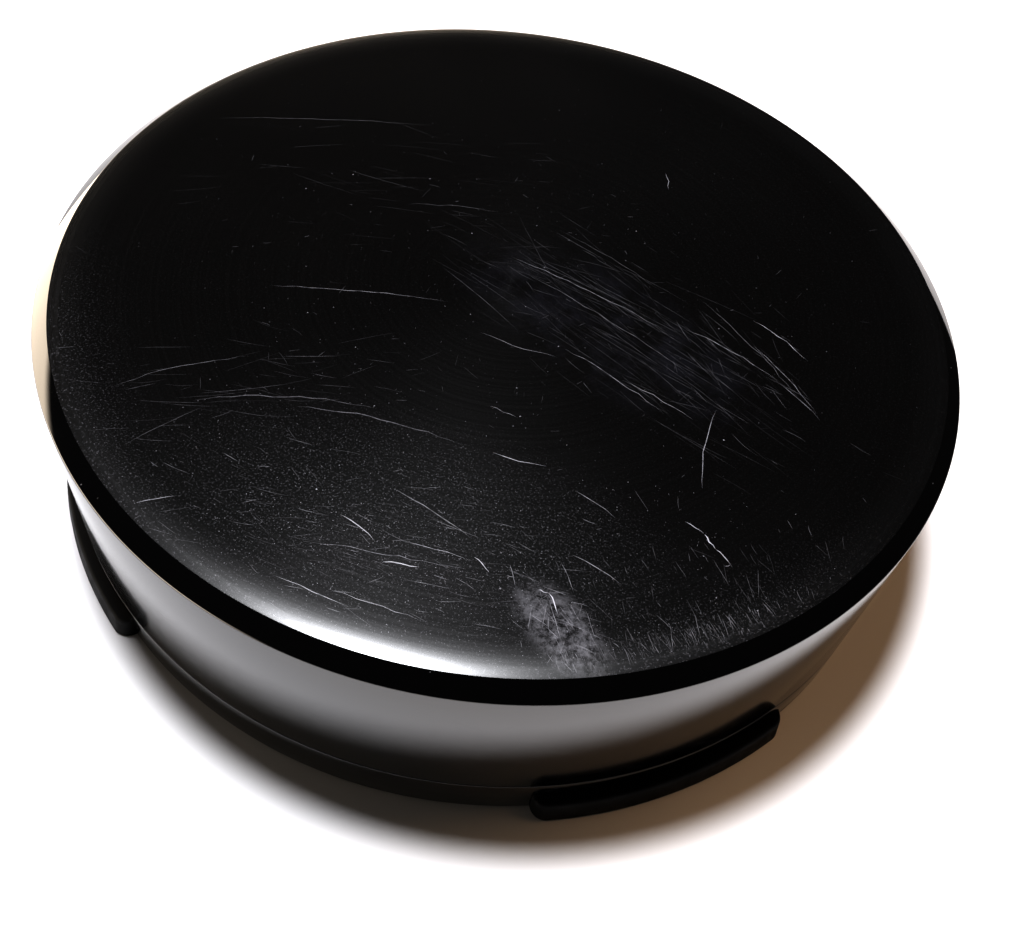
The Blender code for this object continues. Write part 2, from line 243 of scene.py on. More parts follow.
def makeWorld():
    # dark room with a pale sweep low on the horizon; the camera itself sees a plain background
    s = studio
    world = bpy.data.worlds.new("studio")
    bpy.context.scene.world = world
    world.use_nodes = True
    tree = world.node_tree
    glow = tree.nodes["Background"]
    way = put(tree, "ShaderNodeTexCoord").outputs["Generated"]
    split = put(tree, "ShaderNodeSeparateXYZ")
    tree.links.new(way, split.inputs[0])
    low = ramp(tree, split.outputs[2], s["sweepTop"] + 0.03, s["sweepTop"] - 0.03)
    side = math.radians(s["sweepSide"])
    facing = put(tree, "ShaderNodeVectorMath", operation="DOT_PRODUCT")
    tree.links.new(way, facing.inputs[0])
    facing.inputs[1].default_value = (math.cos(side), math.sin(side), 0.0)
    near = ramp(tree, facing.outputs["Value"], 0.2, 0.6)
    dark = tuple(s["roomGlow"] * share for share in (1.0, 0.92, 0.85))
    pale = tuple(c * s["sweepGlow"] for c in s["sweepColour"])
    colour = blendColour(tree, times(tree, low, near), dark, pale)
    feed(tree, glow, Color=colour, Strength=1.0)
    seen = put(tree, "ShaderNodeBackground")
    seen.inputs["Color"].default_value = (*s["background"], 1.0)
    ray = put(tree, "ShaderNodeLightPath")
    mix = put(tree, "ShaderNodeMixShader")
    for i, source in enumerate((ray.outputs["Is Camera Ray"], glow.outputs[0], seen.outputs[0])):
        tree.links.new(source, mix.inputs[i])
    tree.links.new(mix.outputs[0], tree.nodes["World Output"].inputs["Surface"])


makeCamera()
makeStudio()
print("camera, floor and lights made")


# hairlines and specks


def groupFor(name, inputs):
    tree = bpy.data.node_groups.new(name, "ShaderNodeTree")
    for label, kind in inputs:
        tree.interface.new_socket(name=label, in_out="INPUT", socket_type=kind)
    tree.interface.new_socket(name="Mask", in_out="OUTPUT", socket_type="NodeSocketFloat")
    start = put(tree, "NodeGroupInput")
    end = put(tree, "NodeGroupOutput")
    return tree, start.outputs, end.inputs[0]


def useGroup(tree, group, **values):
    node = put(tree, "ShaderNodeGroup", node_tree=group)
    feed(tree, node, **values)
    return node.outputs[0]


def makeHairlineGroup():
    # many near-parallel hairlines of random place, length and strength
    floatKind = "NodeSocketFloat"
    names = ("Angle", "Spacing", "Length", "Share", "Width", "Seed", "Wobble")
    tree, given, result = groupFor(
        "hairlines", [("Place", "NodeSocketVector")] + [(n, floatKind) for n in names]
    )
    turn = put(tree, "ShaderNodeVectorRotate", rotation_type="Z_AXIS")
    feed(tree, turn, Vector=given["Place"], Angle=given["Angle"])
    split = put(tree, "ShaderNodeSeparateXYZ")
    tree.links.new(turn.outputs[0], split.inputs[0])
    sway = noise(tree, given["Place"], 0.07, 1.0)
    drift = times(tree, minus(tree, sway, 0.5), given["Wobble"])
    across = plus(tree, split.outputs[1], drift)
    lane = plus(tree, calc(tree, "DIVIDE", across, given["Spacing"]), given["Seed"])
    row = calc(tree, "FLOOR", lane)
    shake = put(tree, "ShaderNodeTexWhiteNoise", noise_dimensions="1D")
    feed(tree, shake, W=row)
    pick = put(tree, "ShaderNodeSeparateColor")
    tree.links.new(shake.outputs["Color"], pick.inputs[0])
    offset = times(tree, minus(tree, pick.outputs[0], 0.5), 0.7)
    side = minus(tree, minus(tree, calc(tree, "FRACT", lane), 0.5), offset)
    away = times(tree, calc(tree, "ABSOLUTE", side), given["Spacing"])
    line = ramp(tree, away, given["Width"], 0.0)
    along = calc(tree, "DIVIDE", split.outputs[0], given["Length"])
    along = plus(tree, along, times(tree, pick.outputs[1], 37.0))
    spot = put(tree, "ShaderNodeCombineXYZ")
    feed(tree, spot, X=row, Y=calc(tree, "FLOOR", along), Z=0.0)
    dice = put(tree, "ShaderNodeTexWhiteNoise", noise_dimensions="3D")
    tree.links.new(spot.outputs[0], dice.inputs["Vector"])
    parts = put(tree, "ShaderNodeSeparateColor")
    tree.links.new(dice.outputs["Color"], parts.inputs[0])
    present = calc(tree, "LESS_THAN", parts.outputs[0], given["Share"])
    part = calc(tree, "FRACT", along)
    ends = times(tree, ramp(tree, part, 0.0, 0.2), ramp(tree, part, 1.0, 0.7))
    strength = ramp(tree, parts.outputs[1], 0.0, 1.0, 0.25, 1.0, smooth=False)
    shown = times(tree, times(tree, line, present), times(tree, ends, strength))
    tree.links.new(shown, result)
    return tree


hairlines = makeHairlineGroup()


def specks(tree, place, scale, share, size):
    # small round dots in random cells
    cells = put(tree, "ShaderNodeTexVoronoi", voronoi_dimensions="2D")
    feed(tree, cells, Vector=place, Scale=scale, Randomness=1.0)
    pick = put(tree, "ShaderNodeSeparateColor")
    tree.links.new(cells.outputs["Color"], pick.inputs[0])
    reach = ramp(tree, pick.outputs[1], 0.0, 1.0, size * 0.4, size, smooth=False)
    dot = ramp(tree, cells.outputs["Distance"], reach, 0.0)
    return times(tree, dot, calc(tree, "LESS_THAN", pick.outputs[0], share))


# finishes of the case

deepBlack = (0.0012, 0.0012, 0.0013)
caseWear = {
    "black": (0.0012, 0.0011, 0.0011),
    "grainAndSheenGrey": (0.14, 0.14, 0.155),
    "scratchGrey": (0.34, 0.34, 0.38),
    "hazeGrey": (0.0035, 0.0035, 0.0055),
    "scuffGrey": (0.085, 0.085, 0.095),
    "roughness": 0.185,
    "turnedLines": 3.2,  # per mm of radius
    # areas: centre, reach and tilt. scuffed and hazy are worn; busyFrontAndSheen is partly wear, partly
    # painted sheen where the grain is lightened over the lit front
    "busyFrontAndSheen": ((3.0, -27.0), (24.0, 13.0), 8.0),
    "scuffed": ((15.6, -28.6), (5.4, 2.7), -30.0),
    "hazy": ((9.0, -1.0), (17.0, 7.5), -14.0),
}


def spotMask(tree, x, y, centre, reach, tilt):
    # soft ellipse on the back, 1 in the middle
    c, s = math.cos(math.radians(tilt)), math.sin(math.radians(tilt))
    dx = minus(tree, x, centre[0])
    dy = minus(tree, y, centre[1])
    along = plus(tree, times(tree, dx, c / reach[0]), times(tree, dy, s / reach[0]))
    aside = minus(tree, times(tree, dy, c / reach[1]), times(tree, dx, s / reach[1]))
    far = plus(tree, times(tree, along, along), times(tree, aside, aside))
    return ramp(tree, far, 1.0, 0.0)


def makeTurnedBack():
    w = caseWear
    finish, tree, shader = newFinish("turnedBack", w["black"], w["roughness"], IOR=1.5)
    place, x, y, _, radius = places(tree)
    lines = noiseAlong(tree, radius, w["turnedLines"], 3.0)
    # the grain is lightened mostly over the front and its rim, where the highlight falls: partly fine wear,
    # partly painted sheen
    busyFrontAndSheen = spotMask(tree, x, y, *w["busyFrontAndSheen"])
    rimFrontSheen = times(tree, ramp(tree, radius, 29.0, 36.0), ramp(tree, y, -8.0, -26.0))
    grainAndSheenPlaces = plus(tree, times(tree, combined(tree, [busyFrontAndSheen, rimFrontSheen]), 0.9), 0.06)
    grain = ramp(tree, noise(tree, place, 6.5, 3.0, 0.8), 0.54, 0.76)
    grain = times(tree, grain, grainAndSheenPlaces)
    scuff = spotMask(tree, x, y, *w["scuffed"])
    scuff = times(tree, scuff, ramp(tree, noise(tree, place, 1.1, 6.0, 0.8), 0.38, 0.66))
    haze = spotMask(tree, x, y, *w["hazy"])
    haze = times(tree, haze, ramp(tree, noise(tree, place, 0.3, 5.0, 0.75), 0.38, 0.70))
    wear = put(tree, "ShaderNodeAttribute", attribute_name="wear").outputs["Fac"]
    wear = times(tree, wear, ramp(tree, noise(tree, place, 1.5, 3.0), 0.30, 0.60, 0.35, 1.0))
    colour = blendColour(tree, haze, w["black"], w["hazeGrey"])
    # lighter grain: painted sheen at the lit front and rim, fine wear elsewhere
    colour = blendColour(tree, times(tree, grain, 0.75), colour, w["grainAndSheenGrey"])
    colour = blendColour(tree, scuff, colour, w["scuffGrey"])
    colour = blendColour(tree, wear, colour, w["scratchGrey"])
    feed(tree, shader, Base_Color=colour)
    rough = plus(tree, w["roughness"] - 0.03, times(tree, noise(tree, place, 0.06, 2.0), 0.06))
    rough = plus(tree, rough, times(tree, combined(tree, [haze, scuff]), 0.07))
    rough = plus(tree, rough, times(tree, ramp(tree, lines, 0.35, 0.7), 0.02))
    rough = plus(tree, rough, times(tree, ramp(tree, radius, 32.5, 36.0), 0.08))
    rough = plus(tree, rough, times(tree, wear, 0.3), clamp=True)
    feed(tree, shader, Roughness=rough)
    height = plus(tree, times(tree, lines, 0.5), times(tree, grain, 0.6))
    bump(tree, shader, height, 0.16, 0.004)
    shader.inputs["Anisotropic"].default_value = 0.3
    shader.inputs["Anisotropic Rotation"].default_value = 0.25
    tangent = put(tree, "ShaderNodeTangent", direction_type="RADIAL", axis="Z")
    tree.links.new(tangent.outputs[0], shader.inputs["Tangent"])
    return finish


def makePolishedChamfer():
    finish, tree, shader = newFinish("polishedChamfer", (0.001, 0.001, 0.0011), 0.04, IOR=1.6)
    place, _, _, z, _ = places(tree)
    nicks = specks(tree, place, 1.1, 0.05, 0.09)
    smear = ramp(tree, noise(tree, place, 0.4, 3.0), 0.4, 0.7)
    colour = blendColour(tree, times(tree, nicks, 0.5), (0.001, 0.001, 0.0011), (0.25, 0.25, 0.27))
    feed(tree, shader, Base_Color=colour)
    rough = plus(tree, 0.03, times(tree, smear, 0.03))
    feed(tree, shader, Roughness=plus(tree, rough, times(tree, nicks, 0.4)))
    bump(tree, shader, noiseAlong(tree, z, 5.0, 2.0), 0.04, 0.004)
    return finish


def makeGlossyWall():
    finish, tree, shader = newFinish("glossyWall", deepBlack, 0.09, IOR=1.85)
    place, x, y, z, _ = places(tree)
    angle = times(tree, calc(tree, "ARCTAN2", y, x), 37.0)  # mm round the wall
    unrolled = put(tree, "ShaderNodeCombineXYZ")
    feed(tree, unrolled, X=angle, Y=z, Z=0.0)
    strokes = []
    for tilt, spacing, length, share, seed in ((38.0, 0.9, 2.2, 0.10, 29.0), (-24.0, 1.1, 3.0, 0.07, 71.0)):
        family = {"Spacing": spacing, "Length": length, "Share": share, "Seed": seed}
        family.update(Place=unrolled.outputs[0], Angle=-math.radians(tilt), Width=0.045, Wobble=6.0)
        strokes.append(useGroup(tree, hairlines, **family))
    patchy = ramp(tree, noise(tree, place, 0.12, 2.0), 0.45, 0.65, 0.1, 1.0)
    marks = times(tree, combined(tree, strokes), patchy)
    marks = calc(tree, "MAXIMUM", marks, times(tree, specks(tree, place, 0.8, 0.06, 0.09), 0.6))
    rubbed = ramp(tree, noise(tree, place, 1.5, 4.0, 0.8), 0.52, 0.75)
    edgeWear = times(tree, ramp(tree, z, 17.7, 18.15), rubbed)
    colour = blendColour(tree, times(tree, marks, 0.4), deepBlack, (0.20, 0.19, 0.20))
    colour = blendColour(tree, times(tree, edgeWear, 0.35), colour, (0.16, 0.15, 0.14))
    feed(tree, shader, Base_Color=colour)
    rough = plus(tree, 0.07, times(tree, noise(tree, place, 0.15, 3.0), 0.08))
    rough = plus(tree, rough, times(tree, marks, 0.3))
    feed(tree, shader, Roughness=plus(tree, rough, times(tree, edgeWear, 0.2)))
    ripple = plus(tree, noiseAlong(tree, z, 4.0, 3.0), times(tree, noise(tree, place, 1.2, 2.0), 0.5))
    bump(tree, shader, ripple, 0.10, 0.006)
    return finish


def makePlain(name, colour, roughness, metallic=0.0, grain=4.0, relief=0.01, strength=0.2):
    # a finish with fine grain, slight colour variation and uneven gloss
    spread = 0.06  # of the roughness
    finish, tree, shader = newFinish(name, colour, roughness, metallic)
    place = places(tree)[0]
    cloud = noise(tree, place, 0.25, 3.0)
    fine = noise(tree, place, grain, 3.0, 0.7)
    darker = tuple(c * 0.78 for c in colour)
    feed(tree, shader, Base_Color=blendColour(tree, cloud, darker, colour))
    rough = plus(tree, roughness - spread / 2, times(tree, noise(tree, place, 0.6, 3.0), spread))
    feed(tree, shader, Roughness=rough)
    bump(tree, shader, fine, strength, relief)
    return finish


def makeTurnedMetal(name, colour, roughness):
    # lathe-turned metal with rings round the axis and a few dull patches
    finish, tree, shader = newFinish(name, colour, roughness, metallic=1.0)
    place, _, _, z, radius = places(tree)
    rings = noiseAlong(tree, plus(tree, radius, z), 6.0, 3.0)
    dull = ramp(tree, noise(tree, place, 0.5, 3.0), 0.4, 0.7)
    feed(tree, shader, Base_Color=blendColour(tree, dull, colour, tuple(c * 0.7 for c in colour)))
    rough = plus(tree, times(tree, rings, 0.15), times(tree, dull, 0.12))
    feed(tree, shader, Roughness=plus(tree, rough, roughness - 0.1))
    bump(tree, shader, rings, 0.25, 0.01)
    return finish


def makeBezelMould():
    # matt moulded black, a little shinier where fingers and tables have rubbed the lobes
    finish, tree, shader = newFinish("bezelMould", deepBlack, 0.5, IOR=1.2)
    place, _, _, _, radius = places(tree)
    grain = noise(tree, place, 6.0, 3.0, 0.7)
    rubbed = times(tree, ramp(tree, radius, 36.9, 37.8), ramp(tree, noise(tree, place, 0.8, 3.0), 0.35, 0.65))
    nicks = specks(tree, place, 1.3, 0.06, 0.12)
    colour = blendColour(tree, times(tree, rubbed, 0.6), deepBlack, (0.005, 0.005, 0.0055))
    colour = blendColour(tree, times(tree, nicks, 0.5), colour, (0.12, 0.12, 0.12))
    feed(tree, shader, Base_Color=colour)
    rough = minus(tree, 0.58, times(tree, rubbed, 0.12))
    feed(tree, shader, Roughness=plus(tree, rough, times(tree, grain, 0.08)))
    bump(tree, shader, grain, 0.35, 0.02)
    return finish


def makeClearWindow():
    finish, tree, shader = newFinish("clearWindow", (0.96, 0.98, 0.98), 0.02, IOR=1.49)
    shader.inputs["Transmission Weight"].default_value = 1.0
    place = places(tree)[0]
    family = {"Angle": 0.6, "Spacing": 1.3, "Length": 6.0, "Share": 0.10, "Width": 0.03}
    fine = useGroup(tree, hairlines, Place=place, Seed=9.0, Wobble=9.0, **family)
    rough = plus(tree, 0.015, times(tree, noise(tree, place, 0.2, 2.0), 0.02))
    feed(tree, shader, Roughness=plus(tree, rough, times(tree, fine, 0.25)))
    return finish


turnedBack = makeTurnedBack()
polishedChamfer = makePolishedChamfer()
glossyWall = makeGlossyWall()
insideMould = makePlain("insideMould", (0.012, 0.012, 0.013), 0.45)
bezelMould = makeBezelMould()
clearWindow = makeClearWindow()
darkAlloy = makeTurnedMetal("darkAlloy", (0.06, 0.06, 0.066), 0.38)
sealRubber = makePlain("sealRubber", (0.02, 0.02, 0.021), 0.75, grain=8.0, relief=0.02)
cushionFoam = makePlain("cushionFoam", (0.09, 0.09, 0.095), 0.95, grain=2.5, relief=0.15, strength=0.7)
whiteMould = makePlain("whiteMould", (0.80, 0.80, 0.76), 0.35, grain=5.0, relief=0.008)
turnedBrass = makeTurnedMetal("turnedBrass", (0.72, 0.52, 0.22), 0.28)
springSteel = makeTurnedMetal("springSteel", (0.56, 0.56, 0.57), 0.26)
luminousPaint = makePlain("luminousPaint", (0.70, 0.84, 0.52), 0.55, grain=9.0, relief=0.03, strength=0.4)
cardPaint = makePlain("cardPaint", (0.018, 0.018, 0.020), 0.55, grain=7.0, relief=0.01)
whiteInk = makePlain("whiteInk", (0.86, 0.86, 0.82), 0.5, grain=10.0, relief=0.01)
redEnamel = makePlain("redEnamel", (0.62, 0.045, 0.025), 0.3, grain=6.0, relief=0.006)
rubyJewel = makePlain("rubyJewel", (0.5, 0.05, 0.12), 0.06, grain=3.0, relief=0.002)
magnetPlate = makePlain("magnetPlate", (0.45, 0.45, 0.46), 0.28, metallic=1.0, grain=6.0, relief=0.006)
print("finishes made")


# mesh helpers


def newPiece(name, bm, finishes, smoothAngle=35.0):
    bmesh.ops.recalc_face_normals(bm, faces=bm.faces)
    mesh = bpy.data.meshes.new(name)
    bm.to_mesh(mesh)
    bm.free()
    mesh.shade_smooth()
    mesh.set_sharp_from_angle(angle=math.radians(smoothAngle))
    piece = bpy.data.objects.new(name, mesh)
    bpy.context.scene.collection.objects.link(piece)
    for finish in finishes:
        mesh.materials.append(finish)
    return piece


def addSwept(bm, angles, sectionAt):
    # joins equal closed cross-sections, one at each angle in radians, into a ring
    rings = []
    for a in angles:
        c, s = math.cos(a) * mm, math.sin(a) * mm
        rings.append([bm.verts.new((r * c, r * s, z * mm)) for r, z in sectionAt(a)])
    for here, after in zip(rings, rings[1:] + rings[:1]):
        for i, corner in enumerate(here):
            j = (i + 1) % len(here)
            bm.faces.new((corner, after[i], after[j], here[j]))


def addTurned(bm, section, segments, centre=(0.0, 0.0), finishOf=None, closed=True):
    # turns a section of (radius, height); a radius of 0 makes one point on the axis
    rings = []
    for radius, height in section:
        if radius == 0.0:
            pole = bm.verts.new((centre[0] * mm, centre[1] * mm, height * mm))
            rings.append([pole] * segments)
            continue
        ring = []
        for i in range(segments):
            a = 2 * math.pi * i / segments
            x = centre[0] + radius * math.cos(a)
            y = centre[1] + radius * math.sin(a)
            ring.append(bm.verts.new((x * mm, y * mm, height * mm)))
        rings.append(ring)
    for k, low in enumerate(rings if closed else rings[:-1]):
        high = rings[(k + 1) % len(rings)]
        for i in range(segments):
            j = (i + 1) % segments
            corners = []
            for corner in (low[i], low[j], high[j], high[i]):
                if corner not in corners:
                    corners.append(corner)
            if len(corners) > 2:
                face = bm.faces.new(corners)
                face.material_index = finishOf(k) if finishOf else 0


def rounded(before, corner, after, radius, steps=4):
    # points of the arc that rounds one corner of a section
    p, c, q = Vector(before), Vector(corner), Vector(after)
    u, v = (p - c).normalized(), (q - c).normalized()
    half = u.angle(v) / 2
    start = c + u * radius / math.tan(half)
    end = c + v * radius / math.tan(half)
    middle = c + (u + v).normalized() * radius / math.sin(half)
    first, last = start - middle, end - middle
    turn = first.angle_signed(last)
    points = []
    for i in range(steps + 1):
        a = -turn * i / steps
        points.append(tuple(middle + Matrix.Rotation(a, 2) @ first))
    return points


# case shell

shellShape = {
    "height": 19.4,
    "flatRadius": 36.17,
    "widest": 37.5,
    "widestHeight": 18.22,
    "foot": 36.59,  # the taper would reach this at the resting plane
    "mouth": 4.06,
    "bore": 35.0,
    "back": 1.8,
    "rollStart": 33.6,  # polishing rounds the flat off from here to its rim
    "rollDrop": 0.16,
    "rollPower": 3.0,
    # how far each corner is rounded
    "rimEdge": 0.09,
    "shoulderEdge": 0.25,
    "mouthEdge": 0.10,
    "ceilingEdge": 0.8,
    "segments": 360,
}


def wallRadius(z):
    s = shellShape
    return s["foot"] + (s["widest"] - s["foot"]) * z / s["widestHeight"]


# marks that stand out on the back: from, to, bow, half width in mm, strength
backScratches = [
    ((-31.5, 6.8), (-14.0, 15.8), 0.7, 0.035, 0.22),
    ((-11.5, 4.8), (-4.2, 7.7), 0.5, 0.035, 0.20),
    ((-16.9, -9.4), (-3.5, -4.3), 0.6, 0.045, 0.42),
    ((-21.6, -24.0), (-14.3, -16.7), 1.0, 0.04, 0.30),
    ((-16.0, -22.6), (-3.5, -17.0), 1.6, 0.06, 0.24),
    ((-9.0, -19.6), (3.4, -17.3), 1.3, 0.06, 0.26),
    ((-1.2, 3.0), (13.4, 0.9), 0.8, 0.045, 0.40),
    ((0.1, 1.9), (17.3, -2.8), 0.7, 0.035, 0.30),
    ((1.2, 8.1), (11.3, 5.3), 0.5, 0.03, 0.22),
    ((0.0, -6.2), (6.5, -5.8), -0.5, 0.045, 0.36),
    ((6.6, -4.7), (15.9, -7.5), 0.6, 0.045, 0.45),
    ((14.4, 2.0), (23.1, 0.0), 0.8, 0.045, 0.50),
    ((19.2, 5.6), (24.6, 3.3), 0.6, 0.05, 0.75),
    ((20.0, 2.9), (26.7, -2.1), 0.8, 0.04, 0.45),
    ((14.6, 5.8), (25.0, -1.1), 0.9, 0.035, 0.30),
    ((11.7, -5.7), (18.1, -7.0), 0.4, 0.045, 0.45),
    ((22.6, 0.0), (27.0, -2.4), 0.3, 0.045, 0.40),
    ((19.4, -5.1), (20.7, -13.1), -0.9, 0.05, 0.55),
    ((20.4, -16.4), (22.0, -16.8), 0.1, 0.05, 0.70),
    ((22.0, -16.8), (23.1, -17.7), 0.0, 0.08, 0.95),
    ((23.1, -17.7), (24.5, -18.5), 0.0, 0.06, 0.80),
    ((24.5, -18.5), (24.1, -18.8), 0.0, 0.05, 0.60),
    ((6.9, 20.0), (7.9, 17.9), 0.2, 0.05, 0.50),
    ((3.7, -12.9), (6.0, -13.0), 0.1, 0.045, 0.40),
    ((5.6, -16.9), (9.7, -16.3), -0.3, 0.05, 0.70),
    ((12.3, -17.4), (15.8, -18.4), 0.2, 0.04, 0.50),
    ((14.1, -22.7), (18.1, -23.5), 0.5, 0.045, 0.50),
    ((13.1, -26.4), (13.8, -26.3), 0.0, 0.05, 0.80),
    ((13.8, -26.3), (15.0, -27.6), 0.1, 0.07, 0.95),
    ((15.0, -27.6), (18.8, -31.2), 0.0, 0.07, 1.0),
    ((14.2, -27.4), (19.7, -30.6), 0.1, 0.06, 0.90),
    ((15.8, -28.4), (19.1, -30.6), 0.0, 0.06, 0.95),
    ((15.0, -31.6), (16.1, -32.3), 0.0, 0.07, 1.0),
    ((0.6, -23.1), (7.4, -24.6), 0.4, 0.045, 0.40),
    ((-3.0, -30.0), (7.7, -27.3), 0.4, 0.035, 0.35),
    ((0.7, -32.6), (7.0, -32.1), 0.3, 0.04, 0.50),
    ((3.0, -26.9), (8.0, -26.3), 0.3, 0.04, 0.50),
    ((-1.6, -26.8), (1.6, -27.8), 0.3, 0.06, 0.65),
    ((2.7, -29.1), (5.2, -28.3), 0.1, 0.07, 0.90),
    ((8.1, -25.9), (9.6, -26.6), 0.3, 0.05, 0.80),
    ((-3.2, -33.2), (2.5, -33.2), 0.1, 0.05, 0.55),
    ((-14.5, -32.3), (-12.2, -30.4), 0.1, 0.045, 0.55),
    ((30.1, -15.2), (32.9, -17.6), 0.1, 0.045, 0.40),
    ((27.1, -20.4), (30.0, -23.3), 0.2, 0.045, 0.45),
    ((23.8, -23.8), (26.9, -25.7), 0.2, 0.045, 0.50),
]
# fine strokes: number, centre, reach, tilt, direction and its spread in degrees, lengths, strengths
strokeFields = [
    (230, (9.5, -0.5), (13.0, 6.5), -15.0, (-16.0, 9.0), (2.0, 12.0), (0.02, 0.15)),
    (80, (19.0, 0.0), (7.0, 5.5), -25.0, (-28.0, 12.0), (1.5, 6.0), (0.03, 0.22)),
    (200, (3.0, -27.5), (15.0, 6.5), 10.0, (9.0, 16.0), (0.6, 4.0), (0.06, 0.34)),
    (90, (22.0, -22.0), (11.0, 5.5), 42.0, (-42.0, 15.0), (0.6, 3.0), (0.05, 0.25)),
    (300, (24.3, -24.8), (13.5, 1.5), 42.0, (-44.0, 10.0), (0.5, 2.2), (0.06, 0.34)),
    (60, (15.5, -28.5), (4.0, 2.8), -45.0, (-48.0, 25.0), (0.8, 3.5), (0.10, 0.45)),
    (60, (-13.0, -19.0), (12.0, 5.5), 35.0, (32.0, 14.0), (1.5, 8.0), (0.04, 0.20)),
    (50, (-12.0, 4.0), (17.0, 12.0), 20.0, (18.0, 16.0), (2.0, 9.0), (0.03, 0.11)),
    (170, (0.0, -3.0), (28.0, 26.0), 0.0, (0.0, 90.0), (0.3, 2.2), (0.04, 0.24)),
]
# dust and tiny pits: number, centre, reach, largest radius
dustFields = [
    (2200, (0.0, -27.5), (18.0, 8.5), 0.045),
    (900, (17.0, -22.0), (14.0, 9.0), 0.042),
    (1000, (0.0, 0.0), (30.0, 28.0), 0.04),
    (90, (0.0, -8.0), (26.0, 26.0), 0.09),
]


def strokeOutline(path, half):
    # outline of one stroke, pointed at both ends
    count = len(path) - 1
    left, right = [], []
    for i in range(1, count):
        share = i / count
        along = (path[i + 1] - path[i - 1]).normalized()
        side = Vector((-along.y, along.x)) * half * min(1.0, 4.0 * share, 3.0 * (1.0 - share))
        left.append(path[i] + side)
        right.append(path[i] - side)
    return [path[0]] + right + [path[-1]] + left[::-1]


def bowedPath(start, end, bow, waver, dice):
    start, end = Vector(start), Vector(end)
    run = end - start
    side = Vector((-run.y, run.x)).normalized()
    steps = max(4, min(14, int(run.length * 1.2)))
    path = []
    for i in range(steps + 1):
        t = i / steps
        sway = 4.0 * bow * t * (1.0 - t) + (dice.uniform(-waver, waver) if 0 < i < steps else 0.0)
        path.append(start + run * t + side * sway)
    return path


def spread(dice, centre, reach, tilt):
    a, b = dice.gauss(0.0, 0.5) * reach[0], dice.gauss(0.0, 0.5) * reach[1]
    c, s = math.cos(math.radians(tilt)), math.sin(math.radians(tilt))
    return Vector((centre[0] + a * c - b * s, centre[1] + a * s + b * c))


def wearOutlines(limit):
    # outlines and strengths of every scratch, hairline and speck inside a radius
    dice = random.Random(11)
    shapes = []
    for start, end, bow, half, strength in backScratches:
        shapes.append((strokeOutline(bowedPath(start, end, bow * 0.5, 0.10, dice), half * 0.6), strength))
    for number, centre, reach, tilt, heading, lengths, strengths in strokeFields:
        for _ in range(number):
            middle = spread(dice, centre, reach, tilt)
            a = math.radians(dice.gauss(heading[0], heading[1]))
            run = Vector((math.cos(a), math.sin(a)))
            run = run * dice.uniform(lengths[0], lengths[1]) * dice.uniform(0.15, 0.5)
            path = bowedPath(middle - run, middle + run, dice.gauss(0.0, 0.04) * run.length, 0.02, dice)
            strength = strengths[0] + (strengths[1] - strengths[0]) * dice.random() ** 2
            shapes.append((strokeOutline(path, dice.uniform(0.010, 0.024)), strength))
    for number, centre, reach, largest in dustFields:
        for _ in range(number):
            middle = spread(dice, centre, reach, 0.0)
            corners = []
            for k in range(5):
                a = k * math.pi / 2.5
                corners.append(Vector((math.cos(a), math.sin(a))) * largest * dice.uniform(0.35, 1.0))
            shapes.append(([middle + c for c in corners], 0.05 + 0.6 * dice.random() ** 3))
    return [(outline, strength) for outline, strength in shapes if max(p.length for p in outline) < limit]


def addWornDisc(bm, rings, segments, heightAt):
    # flat disc of triangles in which every mark is cut as its own faces, with its strength as "wear"
    wear = bm.faces.layers.float.new("wear")
    points, edges, outlines, strengths = [], [], [], []
    for radius in rings:
        first = len(points)
        for i in range(segments):
            a = 2 * math.pi * i / segments
            points.append(Vector((radius * math.cos(a), radius * math.sin(a))))
            edges.append((first + i, first + (i + 1) % segments))
    for outline, strength in wearOutlines(rings[-1] - 0.25):
        outlines.append(list(range(len(points), len(points) + len(outline))))
        strengths.append(strength)
        points += outline
    corners, _, faces, _, _, parents = delaunay_2d_cdt(points, edges, outlines, 0, 1e-6)
    verts = [bm.verts.new((p.x * mm, p.y * mm, heightAt(p.length) * mm)) for p in corners]
    for face, inside in zip(faces, parents):
        made = bm.faces.new([verts[i] for i in face])
        made[wear] = max((strengths[i] for i in inside), default=0.0)


